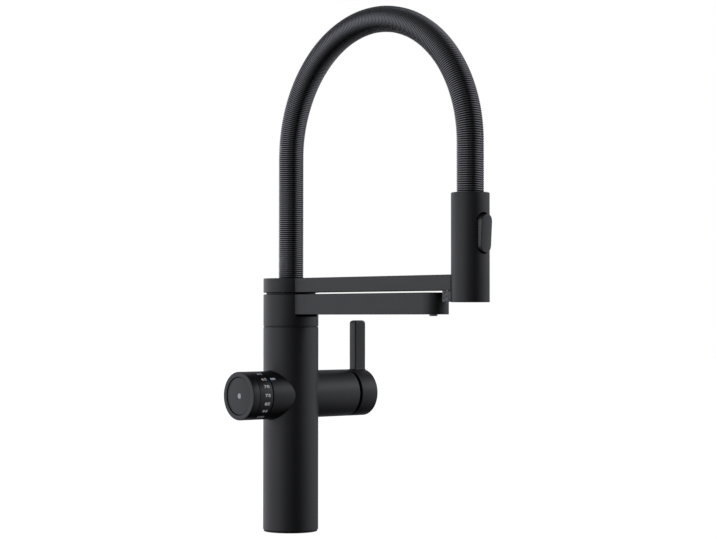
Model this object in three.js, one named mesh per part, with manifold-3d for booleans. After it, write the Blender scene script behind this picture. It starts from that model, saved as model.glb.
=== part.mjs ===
// Boiling water tap: a round column with a hot-water dial on its left, a mixer lever on its right,
// a low swivelling spout, and above it a swivelling arm that holds a spring hose with a hand spray.
//
// Millimetres. Origin: centre of the base on the worktop. +Z up, the spout and the arm point along -Y,
// the dial is on -X and the lever on +X.

import * as THREE from 'three';
import { mergeVertices } from 'three/addons/utils/BufferGeometryUtils.js';
import Module from 'manifold-3d';

const wasm = await Module();
wasm.setup();

// ---------------------------------------------------------------- driving dimensions
const GAP = 0.3;                 // clearance between parts that meet

const COLUMN_R = 25;             // column, collar and the round end of the arm share one radius
const COLUMN_BORE_R = 20;
const COLUMN_Z0 = 1.5;           // underside of the column, on the base seal
const COLUMN_Z1 = 184.4;         // top of the column, under the swivel seam
const COLUMN_BORE_Z1 = 176;      // underside of the column's top wall

const AXIS_Z = 123.3;            // height of the dial's and the lever's common axis
const SIDE_R = 21.6;             // neck, dial, lever housing and lever cap
const NECK_X = 37.4;             // end of the dial neck, measured from the column's axis
const NECK_BORE_R = 16.5;
const HOUSING_X = 65.6;          // end of the lever housing
const HOUSING_BORE_R = 17.9;
const HOUSING_BORE_X = 30;       // seat of the mixer cartridge

const DIAL_RING_X0 = 38.6;       // number ring of the dial
const DIAL_RING_X1 = 53.0;
const DIAL_KNOB_X0 = 53.4;       // front ring of the dial
const DIAL_FACE_X = 60.6;
const DIAL_RIM_R = 17.1;         // inside of the front ring's rim
const DIAL_FACE_R = 16.7;        // push face, sunk a little behind the rim
const DIAL_FACE_SINK = 0.9;

const CAP_X0 = 68.85;            // lever cap
const CAP_X1 = 87.9;
const BLADE_X0 = 75.1;           // lever blade
const BLADE_X1 = 87.9;
const BLADE_HALF_Y = 4.25;
const BLADE_TOP_Z = 190.55;
const BLADE_TOP_CHAMFER = 2.2;

const SPOUT_Z0 = 185.4;          // collar of the lower spout
const SPOUT_ARM_Z0 = 195.7;      // underside of the spout
const SPOUT_Z1 = 214.0;          // top of the spout
const BAR_HALF_X = 13.0;         // half width of the spout and of the arm
const SPOUT_OUTLET_Y = 185.0;    // outlet axis, measured forward from the column's axis
const WATERWAY_Z = 204.4;

const ARM_Z0 = 215.6;            // hose arm
const ARM_Z1 = 228.5;
const ARM_EYE_Z = 221.4;         // shoulder between the bush and the hose eye
const EYE_R = 12.9;

const REACH = 228.3;             // column axis to hand spray axis
const ARCH_Z = 337.5;            // centre height of the hose arch
const HOSE_R = 11.4;             // outside of the hose spring
const HOSE_WIRE = 1.8;
const TUBE_R = 6.8;              // water hose inside the spring
const TUBE_BORE_R = 4.9;

const SPRAY_R = 15.95;           // hand spray
const SPRAY_BORE_R = 13.6;
const SPRAY_Z0 = 205.7;
const SPRAY_Z1 = 295.8;
const DOCK_R = 16.35;            // hollow of the dock that the hand spray nests in
const DOCK_Y0 = 208.7;           // rear face of the dock bracket
const DOCK_Y1 = 218.4;           // tips of the dock's horns
const DOCK_Z0 = 206.0;           // underside of the dock bracket
const MAGNET_Z = 222;

const ROCKER_Z = 262.1;          // rocker pin
const ROCKER_Y = 11.3;           // rocker pin, forward of the spray's axis
const ROCKER_TILT = THREE.MathUtils.degToRad(3.42);
const ROCKER_HALF_W = 5.9;
const ROCKER_HALF_H = 15.5;
const SLOT_HALF_W = 6.8;
const SLOT_HALF_H = 17.2;
const SPOOL_Z = 270.1;

const POST_R = 15.2;             // swivel post
const BUSH_R = 18.5;
const BUSH_BORE_R = 15.5;

const FINE = 40, MEDIUM = 24, COARSE = 16, SMALL = 8;

// ---------------------------------------------------------------- materials
const blackPaint = new THREE.MeshStandardMaterial({ color: 0x26272a, roughness: 0.55, metalness: 0.35 });
const blackPlastic = new THREE.MeshStandardMaterial({ color: 0x1b1c1e, roughness: 0.6, metalness: 0 });
const greyPlastic = new THREE.MeshStandardMaterial({ color: 0x55565a, roughness: 0.6, metalness: 0 });
const rubber = new THREE.MeshStandardMaterial({ color: 0x101011, roughness: 0.85, metalness: 0 });
const brass = new THREE.MeshStandardMaterial({ color: 0xb08d4a, roughness: 0.35, metalness: 1 });
const steel = new THREE.MeshStandardMaterial({ color: 0xb9bcc0, roughness: 0.3, metalness: 1 });
const blackSteel = new THREE.MeshStandardMaterial({ color: 0x1e1f22, roughness: 0.45, metalness: 0.6 });

// ---------------------------------------------------------------- geometry helpers
function signedVolume(g) {
  const p = g.attributes.position, ix = g.index.array;
  const a = new THREE.Vector3(), b = new THREE.Vector3(), c = new THREE.Vector3();
  let v = 0;
  for (let i = 0; i < ix.length; i += 3) {
    a.fromBufferAttribute(p, ix[i]); b.fromBufferAttribute(p, ix[i + 1]); c.fromBufferAttribute(p, ix[i + 2]);
    v += a.dot(b.cross(c)) / 6;
  }
  return v;
}

// one closed, outward-facing, indexed skin with its shared points merged
function closed(geometry) {
  let g = geometry.clone();
  g.deleteAttribute('normal');
  g.deleteAttribute('uv');
  g = mergeVertices(g, 1e-4);
  const ix = g.index.array, keep = [];
  for (let i = 0; i < ix.length; i += 3) {
    if (ix[i] !== ix[i + 1] && ix[i + 1] !== ix[i + 2] && ix[i] !== ix[i + 2]) keep.push(ix[i], ix[i + 1], ix[i + 2]);
  }
  g.setIndex(keep);
  if (signedVolume(g) < 0) {
    for (let i = 0; i < keep.length; i += 3) { const t = keep[i]; keep[i] = keep[i + 1]; keep[i + 1] = t; }
    g.setIndex(keep);
  }
  return g;
}

function solid(geometry) {
  const g = closed(geometry);
  return new wasm.Manifold(new wasm.Mesh({
    numProp: 3,
    vertProperties: new Float32Array(g.attributes.position.array),
    triVerts: new Uint32Array(g.index.array),
  }));
}

function shell(manifold) {
  const m = manifold.getMesh();
  const g = new THREE.BufferGeometry();
  g.setAttribute('position', new THREE.BufferAttribute(new Float32Array(m.vertProperties), 3));
  g.setIndex(new THREE.BufferAttribute(new Uint32Array(m.triVerts), 1));
  return g;
}

// body plus the geometries in add, less the geometries in cut
function carve(body, { add = [], cut = [] } = {}) {
  let s = solid(body);
  for (const g of add) s = s.add(solid(g));
  for (const g of cut) s = s.subtract(solid(g));
  return shell(s);
}

// solid of revolution about Z from [radius, z] pairs; rings close on themselves
function turned(profile, segments = MEDIUM) {
  const pts = profile.map(([r, z]) => new THREE.Vector2(r, z));
  const first = pts[0], last = pts[pts.length - 1];
  if (first.x > 0 || last.x > 0) pts.push(first.clone());
  return new THREE.LatheGeometry(pts, segments).rotateX(Math.PI / 2);
}

const ring = (r0, r1, z0, z1, segments) => turned([[r0, z0], [r1, z0], [r1, z1], [r0, z1]], segments);

// plain cylinder between two heights
function rod(r, z0, z1, segments = MEDIUM, x = 0, y = 0) {
  return new THREE.CylinderGeometry(r, r, z1 - z0, segments).rotateX(Math.PI / 2).translate(x, y, (z0 + z1) / 2);
}
// the same along X or Y
function rodX(r, x0, x1, y, z, segments = MEDIUM) {
  return new THREE.CylinderGeometry(r, r, x1 - x0, segments).rotateZ(-Math.PI / 2).translate((x0 + x1) / 2, y, z);
}
function rodY(r, y0, y1, x, z, segments = MEDIUM) {
  return new THREE.CylinderGeometry(r, r, y1 - y0, segments).translate(x, (y0 + y1) / 2, z);
}
function block(x0, x1, y0, y1, z0, z1) {
  return new THREE.BoxGeometry(x1 - x0, y1 - y0, z1 - z0).translate((x0 + x1) / 2, (y0 + y1) / 2, (z0 + z1) / 2);
}
// outline in XY raised from z0 to z1
function plate(shape, z0, z1, curveSegments = 12) {
  return new THREE.ExtrudeGeometry(shape, { depth: z1 - z0, bevelEnabled: false, curveSegments }).translate(0, 0, z0);
}

// a path through given points; the section stands square to the path at every point
class Route extends THREE.Curve {
  constructor(points) { super(); this.points = points; }
  getPoint(t, target = new THREE.Vector3()) {
    const n = this.points.length - 1, s = Math.min(Math.max(t, 0), 1) * n, i = Math.min(Math.floor(s), n - 1);
    return target.copy(this.points[i]).lerp(this.points[i + 1], s - i);
  }
  getPointAt(t, target) { return this.getPoint(t, target); }
  getTangent(t, target = new THREE.Vector3()) {
    const n = this.points.length - 1, i = Math.round(Math.min(Math.max(t, 0), 1) * n), p = this.points;
    target.set(0, 0, 0);
    if (i > 0) target.add(p[i].clone().sub(p[i - 1]).normalize());
    if (i < n) target.add(p[i + 1].clone().sub(p[i]).normalize());
    return target.normalize();
  }
  getTangentAt(t, target) { return this.getTangent(t, target); }
}

function hollowTube(points, rOut, rIn, sides = 8, innerSides = 6) {
  const section = new THREE.Shape(polygon(rOut, sides));
  section.holes.push(new THREE.Path(polygon(rIn, innerSides)));
  return new THREE.ExtrudeGeometry(section, {
    steps: points.length - 1, bevelEnabled: false, extrudePath: new Route(points),
  });
}
function polygon(r, n) {
  return Array.from({ length: n }, (_, i) => {
    const a = (i + 0.5) * 2 * Math.PI / n;
    return new THREE.Vector2(r * Math.cos(a), r * Math.sin(a));
  });
}
const v3 = (x, y, z) => new THREE.Vector3(x, y, z);

// quarter bend between two straight runs: from p towards the corner, then away to q
function bend(p, corner, q, radius, steps = 4) {
  const d0 = corner.clone().sub(p).normalize(), d1 = q.clone().sub(corner).normalize();
  const out = [p];
  for (let i = 0; i <= steps; i++) {
    const a = (i / steps) * Math.PI / 2;
    out.push(corner.clone()
      .addScaledVector(d0, -radius * (1 - Math.sin(a)))
      .addScaledVector(d1, radius * (1 - Math.cos(a))));
  }
  out.push(q);
  return out;
}

const tap = new THREE.Group();
function piece(parent, name, geometry, material) {
  const mesh = new THREE.Mesh(geometry.index ? geometry : closed(geometry), material);
  mesh.name = name;
  parent.add(mesh);
  return mesh;
}
const finish = (geometry) => closed(geometry);

// ---------------------------------------------------------------- base
const baseGroup = new THREE.Group();
tap.add(baseGroup);

piece(baseGroup, 'base_seal', finish(ring(20.3, 24.3, 0, COLUMN_Z0 - GAP, FINE)), rubber);

const COLD = [6, 9], HOT = [6, -9], BOIL = [-10.5, 0];
piece(baseGroup, 'base_plate', carve(
  turned([[0, 0], [19.0, 0], [19.6, 0.6], [19.6, 9], [0, 9]], FINE),
  { cut: [
    rod(4.4, -1, 10, COARSE, ...COLD), rod(4.4, -1, 10, COARSE, ...HOT), rod(3.9, -1, 10, COARSE, ...BOIL),
    rod(2.6, -1, 6.5, COARSE, -5, 12.5), rod(2.6, -1, 6.5, COARSE, -5, -12.5),
  ] }), brass);

// ---------------------------------------------------------------- column, with the dial neck and the lever housing cast on
const COLD_PORT = [9, AXIS_Z - 5], HOT_PORT = [-9, AXIS_Z - 5], MIX_PORT = [0, AXIS_Z + 10];
const columnShell = turned([
  [COLUMN_BORE_R, COLUMN_Z0], [COLUMN_R - 0.4, COLUMN_Z0], [COLUMN_R, COLUMN_Z0 + 0.4],
  [COLUMN_R, COLUMN_Z1 - 0.3], [COLUMN_R - 0.3, COLUMN_Z1], [POST_R + 0.4, COLUMN_Z1],
  [POST_R + 0.4, COLUMN_BORE_Z1], [COLUMN_BORE_R, COLUMN_BORE_Z1],
], FINE);
piece(baseGroup, 'column_body', carve(columnShell, {
  add: [
    rodX(SIDE_R, -NECK_X, -12, 0, AXIS_Z, FINE),
    rodX(SIDE_R, 12, HOUSING_X, 0, AXIS_Z, FINE),
  ],
  cut: [
    rod(COLUMN_BORE_R, COLUMN_Z0 - 1, COLUMN_BORE_Z1, FINE),
    rodX(NECK_BORE_R, -NECK_X - 1, -10, 0, AXIS_Z, MEDIUM),
    rodX(HOUSING_BORE_R, HOUSING_BORE_X, HOUSING_X + 1, 0, AXIS_Z, MEDIUM),
    rodX(4.5, 10, HOUSING_BORE_X + 1, ...COLD_PORT, SMALL),
    rodX(4.5, 10, HOUSING_BORE_X + 1, ...HOT_PORT, SMALL),
    rodX(5.5, 10, HOUSING_BORE_X + 1, ...MIX_PORT, SMALL),
  ],
}), blackPaint);

// pipes inside the column
piece(baseGroup, 'cold_inlet_tube', finish(hollowTube(bend(
  v3(...COLD, 0.3), v3(...COLD, COLD_PORT[1]), v3(29.4, COLD_PORT[0], COLD_PORT[1]), 6), 4, 3)), steel);
piece(baseGroup, 'hot_inlet_tube', finish(hollowTube(bend(
  v3(...HOT, 0.3), v3(...HOT, HOT_PORT[1]), v3(29.4, HOT_PORT[0], HOT_PORT[1]), 6), 4, 3)), steel);
piece(baseGroup, 'boiling_inlet_tube', finish(hollowTube(bend(
  v3(...BOIL, 0.3), v3(...BOIL, AXIS_Z - 7), v3(-19.6, 0, AXIS_Z - 7), 7), 3.5, 2.5)), steel);
piece(baseGroup, 'boiling_outlet_tube', finish(hollowTube(bend(
  v3(-19.6, 0, AXIS_Z + 7), v3(BOIL[0], 0, AXIS_Z + 7), v3(BOIL[0], 0, 169.5), 7), 3.5, 2.2)), steel);
piece(baseGroup, 'mixed_water_tube', finish(hollowTube(bend(
  v3(29.4, MIX_PORT[0], MIX_PORT[1]), v3(0, 0, MIX_PORT[1]), v3(0, 0, 169.5), 9), 5, 3.8)), steel);

// ---------------------------------------------------------------- swivel post and what sits on it
piece(baseGroup, 'swivel_post', carve(turned([
  [0, 169.9], [19.5, 169.9], [19.5, COLUMN_BORE_Z1 - GAP], [POST_R, COLUMN_BORE_Z1 - GAP],
  [POST_R, 197.4], [13.4, 197.4], [13.4, 199.8], [POST_R, 199.8],
  [POST_R, 202.0], [12.4, 202.0], [12.4, 206.8], [POST_R, 206.8],
  [POST_R, 208.1], [13.4, 208.1], [13.4, 210.5], [POST_R, 210.5],
  [POST_R, ARM_EYE_Z - GAP], [4.2, ARM_EYE_Z - GAP], [4.2, 233], [0, 233],
], MEDIUM), { cut: [
  rod(6, 169, 215, COARSE), rod(2.8, 214, 234, SMALL), rod(2.2, 169, 204.4, SMALL, ...BOIL),
] }), brass);

function oRing(z) {
  const c = Array.from({ length: 8 }, (_, i) => [14.7 + 1.0 * Math.cos(i * Math.PI / 4), z + 1.0 * Math.sin(i * Math.PI / 4)]);
  return turned(c, MEDIUM);
}
piece(baseGroup, 'post_oring_lower', finish(oRing(198.6)), rubber);
piece(baseGroup, 'post_oring_upper', finish(oRing(209.3)), rubber);
piece(baseGroup, 'seam_washer', finish(ring(POST_R + 0.5, 24.6, COLUMN_Z1 + 0.2, SPOUT_Z0 - 0.2, FINE)), blackPlastic);
piece(baseGroup, 'arm_washer', finish(ring(POST_R + 0.5, 22.4, SPOUT_Z1 + GAP, ARM_Z0 - GAP, FINE)), blackPlastic);

// ---------------------------------------------------------------- lower spout
function barOutline(yEnd, roundEnd) {
  const s = new THREE.Shape();
  s.moveTo(-BAR_HALF_X, 0);
  s.lineTo(-BAR_HALF_X, -yEnd);
  if (roundEnd) s.absarc(0, -yEnd, BAR_HALF_X, Math.PI, Math.PI * 2, false);
  else s.lineTo(BAR_HALF_X, -yEnd);
  s.lineTo(BAR_HALF_X, 0);
  s.closePath();
  return s;
}
// relief in the collar right under the spout's root
const RELIEF_R = 20.4, RELIEF_H = 1.9, RELIEF_HALF_X = 12.4;
const reliefShape = new THREE.Shape();
const reliefIn = Math.asin(RELIEF_HALF_X / RELIEF_R), reliefOut = Math.asin(RELIEF_HALF_X / (COLUMN_R + 2));
reliefShape.absarc(0, 0, RELIEF_R, -Math.PI / 2 - reliefIn, -Math.PI / 2 + reliefIn, false);
reliefShape.absarc(0, 0, COLUMN_R + 2, -Math.PI / 2 + reliefOut, -Math.PI / 2 - reliefOut, true);
reliefShape.closePath();
const reliefGroove = plate(reliefShape, SPOUT_ARM_Z0 - RELIEF_H, SPOUT_ARM_Z0, 12);
const spoutGroup = new THREE.Group();
tap.add(spoutGroup);
piece(spoutGroup, 'spout_body', carve(
  turned([[0, SPOUT_Z0], [COLUMN_R - 0.3, SPOUT_Z0], [COLUMN_R, SPOUT_Z0 + 0.3], [COLUMN_R, SPOUT_Z1 - 0.3],
    [COLUMN_R - 0.3, SPOUT_Z1], [0, SPOUT_Z1]], FINE),
  {
    add: [plate(barOutline(SPOUT_OUTLET_Y, true), SPOUT_ARM_Z0, SPOUT_Z1, 14)],
    cut: [
      rod(16, SPOUT_Z0 - 1, SPOUT_Z1 + 1, MEDIUM),
      rod(BUSH_R + GAP, SPOUT_Z0 - 1, 195.4, MEDIUM), rod(BUSH_R + GAP, 211, SPOUT_Z1 + 1, MEDIUM),
      rodY(3, -SPOUT_OUTLET_Y, -14, 0, WATERWAY_Z, SMALL),
      rod(6.5, SPOUT_ARM_Z0 - 1, 208, COARSE, 0, -SPOUT_OUTLET_Y),
      rodY(2.2, 17, 26, 0, 190.3, SMALL),
      reliefGroove,
    ],
  }), blackPaint);
piece(spoutGroup, 'spout_bush_lower', finish(ring(BUSH_BORE_R, BUSH_R, SPOUT_Z0 + GAP, 195.1, MEDIUM)), greyPlastic);
piece(spoutGroup, 'spout_bush_upper', finish(ring(BUSH_BORE_R, BUSH_R, 211.3, SPOUT_Z1 - GAP, MEDIUM)), greyPlastic);
piece(spoutGroup, 'spout_grub_screw', carve(rodY(1.9, 18.9, 24.4, 0, 190.3, SMALL), { cut: [rodY(1.0, 22, 25, 0, 190.3, 6)] }), steel);

const outletGroup = new THREE.Group();
outletGroup.position.set(0, -SPOUT_OUTLET_Y, 0);
spoutGroup.add(outletGroup);
piece(outletGroup, 'outlet_nozzle', finish(turned([
  [2.6, 194.6], [3.2, 194.6], [3.6, 195.9], [6.1, 195.9], [6.1, 203], [4.0, 203], [4.0, 197.6], [2.6, 197.6]], COARSE)), blackPlastic);
piece(outletGroup, 'outlet_insert', carve(turned([[0, 197.9], [3.7, 197.9], [3.7, 201.5], [0, 201.5]], COARSE), {
  cut: Array.from({ length: 6 }, (_, i) => rod(0.7, 194, 203, 6, 2.2 * Math.cos(i * Math.PI / 3), 2.2 * Math.sin(i * Math.PI / 3))),
}), greyPlastic);

// ---------------------------------------------------------------- hose arm and dock
const armGroup = new THREE.Group();
tap.add(armGroup);
const DOCK_SCREWS = [[-9.5, -211.8], [9.5, -211.8]];
piece(armGroup, 'hose_arm', carve(
  turned([[0, ARM_Z0], [COLUMN_R - 0.3, ARM_Z0], [COLUMN_R, ARM_Z0 + 0.3], [COLUMN_R, ARM_Z1 - 0.3],
    [COLUMN_R - 0.3, ARM_Z1], [0, ARM_Z1]], FINE),
  {
    add: [plate(barOutline(DOCK_Y1, false), ARM_Z0, ARM_Z1)],
    cut: [
      rod(BUSH_R + GAP, ARM_Z0 - 1, ARM_EYE_Z, MEDIUM),
      rod(EYE_R, ARM_EYE_Z - 1, ARM_Z1 + 1, MEDIUM),
      rod(DOCK_R, ARM_Z0 - 1, ARM_Z1 + 1, FINE, 0, -REACH),
      rodY(4.3, -213, -207.1, 0, MAGNET_Z, COARSE),
      ...DOCK_SCREWS.map(([x, y]) => rod(1.7, ARM_Z0 - 1, 223, SMALL, x, y)),
      rodY(2.2, 18, 26, 0, 218.5, SMALL),
    ],
  }), blackPaint);
piece(armGroup, 'arm_bush', finish(ring(BUSH_BORE_R, BUSH_R, ARM_Z0 + GAP, ARM_EYE_Z - GAP, MEDIUM)), greyPlastic);
piece(armGroup, 'arm_grub_screw', carve(rodY(1.9, 18.9, 24.4, 0, 218.5, SMALL), { cut: [rodY(1.0, 22, 25, 0, 218.5, 6)] }), steel);
piece(armGroup, 'dock_bracket', carve(block(-BAR_HALF_X, BAR_HALF_X, -DOCK_Y1, -DOCK_Y0, DOCK_Z0, ARM_Z0 - GAP), {
  cut: [rod(DOCK_R, 205, 217, FINE, 0, -REACH), ...DOCK_SCREWS.map(([x, y]) => rod(1.9, 205, 217, SMALL, x, y))],
}), greyPlastic);
DOCK_SCREWS.forEach(([x, y], i) => piece(armGroup, `dock_screw_${i + 1}`, finish(rod(1.4, 207, 221, SMALL, x, y)), steel));
piece(armGroup, 'dock_magnet', finish(rodY(4, -211.4, -207.5, 0, MAGNET_Z, COARSE)), steel);

// ---------------------------------------------------------------- hose: spring outside, water hose inside
piece(armGroup, 'hose_ferrule', finish(turned([
  [TUBE_R + 0.4, ARM_EYE_Z + 0.4], [12.5, ARM_EYE_Z + 0.4], [12.5, 227.4], [12.0, 227.9], [TUBE_R + 0.4, 227.9]], MEDIUM)), blackSteel);
// up from the arm's eye, over the arch and down into the hand spray
const archPoints = (steps) => Array.from({ length: steps + 1 }, (_, i) => {
  const a = (i / steps) * Math.PI;
  return v3(0, -REACH / 2 + (REACH / 2) * Math.cos(a), ARCH_Z + (REACH / 2) * Math.sin(a));
});
piece(armGroup, 'hose_spring', finish(hollowTube(
  [v3(0, 0, ARM_Z1 - GAP), ...archPoints(24), v3(0, -REACH, 291.4)], HOSE_R, HOSE_R - HOSE_WIRE, 12, 8)), blackSteel);
piece(armGroup, 'hose_water_tube', finish(hollowTube(
  [v3(0, 0, ARM_EYE_Z + 0.4), ...archPoints(16), v3(0, -REACH, 291.6)], TUBE_R, TUBE_BORE_R, 8, 6)), rubber);

// ---------------------------------------------------------------- hand spray
const sprayGroup = new THREE.Group();
sprayGroup.position.set(0, -REACH, 0);
tap.add(sprayGroup);

function obround(halfW, halfH) {
  const s = new THREE.Shape(), h = halfH - halfW;
  s.moveTo(halfW, -h);
  s.lineTo(halfW, h);
  s.absarc(0, h, halfW, 0, Math.PI, false);
  s.lineTo(-halfW, -h);
  s.absarc(0, -h, halfW, Math.PI, Math.PI * 2, false);
  return s;
}
// obround standing in the XZ plane, from y0 to y1
function obroundY(halfW, halfH, y0, y1, zc, curveSegments = 10) {
  return new THREE.ExtrudeGeometry(obround(halfW, halfH), { depth: y1 - y0, bevelEnabled: false, curveSegments })
    .rotateX(Math.PI / 2).translate(0, y1, zc);
}
piece(sprayGroup, 'spray_shell', carve(turned([
  [SPRAY_BORE_R, SPRAY_Z0], [SPRAY_R - 0.4, SPRAY_Z0], [SPRAY_R, SPRAY_Z0 + 0.4],
  [SPRAY_R, SPRAY_Z1 - 0.8], [SPRAY_R - 0.8, SPRAY_Z1], [HOSE_R + 0.5, SPRAY_Z1], [HOSE_R + 0.5, 291.0], [SPRAY_BORE_R, 291.0],
], FINE), { cut: [obroundY(SLOT_HALF_W, SLOT_HALF_H, -20, -6, ROCKER_Z)] }), blackPaint);
piece(sprayGroup, 'hose_connector', carve(turned([
  [0, 280.2], [6, 280.2], [6, 286], [13.2, 286], [13.2, 290.7], [9, 290.7], [4.2, 291.2], [4.2, 303], [0, 303]], COARSE), {
  cut: [rod(2.8, 279, 304, SMALL)],
}), brass);
piece(sprayGroup, 'spray_valve_body', carve(rod(13.1, 238, 285.5, MEDIUM), {
  cut: [
    // flat behind the rocker, with a lug left standing on each side of it for the pin
    block(6.4, 20, -20, -9, 230, 290), block(-20, -6.4, -20, -9, 230, 290), block(-4.6, 4.6, -20, -9, 230, 290),
    block(4.5, 6.5, -20, -9, 230, ROCKER_Z - 2.6), block(-6.5, -4.5, -20, -9, 230, ROCKER_Z - 2.6),
    block(4.5, 6.5, -20, -9, ROCKER_Z + 2.6, 290), block(-6.5, -4.5, -20, -9, ROCKER_Z + 2.6, 290),
    block(4.5, 6.5, -20, -12.9, 230, 290), block(-6.5, -4.5, -20, -12.9, 230, 290),
    rodX(1.2, -8, 8, -ROCKER_Y, ROCKER_Z, SMALL),
    rod(6.4, 279.8, 286, COARSE), rod(3.2, 237, 280, SMALL, 0, 5.5),
    rodY(2.35, -10, 0, 0, SPOOL_Z, COARSE),
  ],
}), greyPlastic);
piece(sprayGroup, 'rocker_pin', finish(rodX(0.85, -6.3, 6.3, -ROCKER_Y, ROCKER_Z, SMALL)), steel);
piece(sprayGroup, 'spray_chamber', finish(ring(8, 10.6, 211.5, 237.6, COARSE)), greyPlastic);
piece(sprayGroup, 'spray_keeper_plate', finish(block(-4.4, 4.4, 11.1, 12.3, 213, 233)), steel);
const NOZZLES = [...Array.from({ length: 12 }, (_, i) => [10.2, i / 12]), ...Array.from({ length: 6 }, (_, i) => [7.2, (i + 0.5) / 6])];
piece(sprayGroup, 'spray_nozzle_plate', carve(ring(4.8, 13.2, 207.6, 211.1, MEDIUM), {
  add: NOZZLES.map(([r, t]) => new THREE.CylinderGeometry(0.9, 0.6, 1.4, 6).rotateX(Math.PI / 2)
    .translate(r * Math.cos(2 * Math.PI * t), r * Math.sin(2 * Math.PI * t), 207.3)),
}), rubber);
piece(sprayGroup, 'spray_aerator', carve(rod(4.4, 207.0, 213, COARSE), {
  cut: Array.from({ length: 6 }, (_, i) => rod(0.8, 206, 214, 6, 2.6 * Math.cos(i * Math.PI / 3), 2.6 * Math.sin(i * Math.PI / 3))),
}), greyPlastic);
piece(sprayGroup, 'diverter_spool', finish(rodY(2.0, -13.5, -2.5, 0, SPOOL_Z, COARSE)), brass);

// the rocker stands tilted on its pin, top end out
const rockerGroup = new THREE.Group();
rockerGroup.position.set(0, -ROCKER_Y, ROCKER_Z);
rockerGroup.rotation.x = ROCKER_TILT;
sprayGroup.add(rockerGroup);
piece(rockerGroup, 'rocker_button', carve(obroundY(ROCKER_HALF_W, ROCKER_HALF_H, -7.55, -2.15, 0), {
  add: [block(-3.6, 3.6, -2.5, 1.8, -2.2, 2.2)],
  cut: [rodX(1.2, -5, 5, 0, 0, SMALL)],
}), blackPlastic);

// ---------------------------------------------------------------- dial: in its own frame, +Z out of the column, towards -X
const dialGroup = new THREE.Group();
dialGroup.position.set(0, 0, AXIS_Z);
dialGroup.rotation.y = -Math.PI / 2;
tap.add(dialGroup);

piece(dialGroup, 'hot_valve_body', carve(turned([
  [0, 20], [15.9, 20], [15.9, 33.6], [13.5, 34.6], [13.5, 36.4], [0, 36.4]], MEDIUM), {
  cut: [rod(4.4, 24, 37, COARSE), rod(2.4, 19, 23, SMALL, 7, 0), rod(2.4, 19, 23, SMALL, -7, 0)],
}), brass);
piece(dialGroup, 'dial_gap_ring', finish(ring(16.9, 19.0, NECK_X + 0.3, DIAL_RING_X0 - 0.3, FINE)), rubber);
piece(dialGroup, 'dial_number_ring', finish(turned([
  [4.3, 50.4], [18.2, 50.4], [18.2, DIAL_RING_X0], [SIDE_R - 0.2, DIAL_RING_X0], [SIDE_R, DIAL_RING_X0 + 0.2],
  [SIDE_R, DIAL_RING_X1 - 0.2], [SIDE_R - 0.2, DIAL_RING_X1], [4.3, DIAL_RING_X1]], FINE)), blackPaint);
piece(dialGroup, 'dial_knob', finish(turned([
  [4.3, DIAL_KNOB_X0], [SIDE_R - 0.2, DIAL_KNOB_X0], [SIDE_R, DIAL_KNOB_X0 + 0.2], [SIDE_R, DIAL_FACE_X - 0.9], [SIDE_R - 0.9, DIAL_FACE_X],
  [DIAL_RIM_R, DIAL_FACE_X], [DIAL_RIM_R, 55.2], [4.3, 55.2]], FINE)), blackPaint);
piece(dialGroup, 'dial_spindle', finish(rod(4.0, 24.5, 55.6, COARSE)), brass);
piece(dialGroup, 'dial_return_spring', finish(ring(6.0, 7.2, 55.5, 57.8, COARSE)), steel);
piece(dialGroup, 'dial_push_face', finish(turned([
  [0, 58.1], [DIAL_FACE_R, 58.1], [DIAL_FACE_R, DIAL_FACE_X - DIAL_FACE_SINK - 0.3],
  [DIAL_FACE_R - 0.3, DIAL_FACE_X - DIAL_FACE_SINK], [0, DIAL_FACE_X - DIAL_FACE_SINK]], FINE)), blackPaint);

// ---------------------------------------------------------------- lever: in its own frame, +Z out of the column, towards +X; -X is up
const leverGroup = new THREE.Group();
leverGroup.position.set(0, 0, AXIS_Z);
leverGroup.rotation.y = Math.PI / 2;
tap.add(leverGroup);

piece(leverGroup, 'mixer_cartridge', carve(turned([
  [0, HOUSING_BORE_X + 0.4], [17.4, HOUSING_BORE_X + 0.4], [17.4, 57.6], [9.4, 57.6], [9.4, 63.5], [0, 63.5]], MEDIUM), {
  cut: [
    rod(4.9, 51, 64, COARSE),
    rod(2.8, 30, 38, SMALL, 5, 9), rod(2.8, 30, 38, SMALL, 5, -9), rod(3.4, 30, 38, SMALL, -10, 0),
  ],
}), greyPlastic);
piece(leverGroup, 'cartridge_nut', carve(ring(9.8, 17.4, 58.0, 64.0, MEDIUM), {
  cut: Array.from({ length: 6 }, (_, i) => block(-1.5, 1.5, 14, 19, 61, 65).rotateZ(i * Math.PI / 3)),
}), brass);
piece(leverGroup, 'lever_gap_ring', finish(ring(16.6, 18.8, HOUSING_X + 0.35, CAP_X0 - 0.35, FINE)), rubber);
piece(leverGroup, 'cartridge_stem', finish(rod(4.5, 51.5, 80.4, COARSE)), brass);
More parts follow.
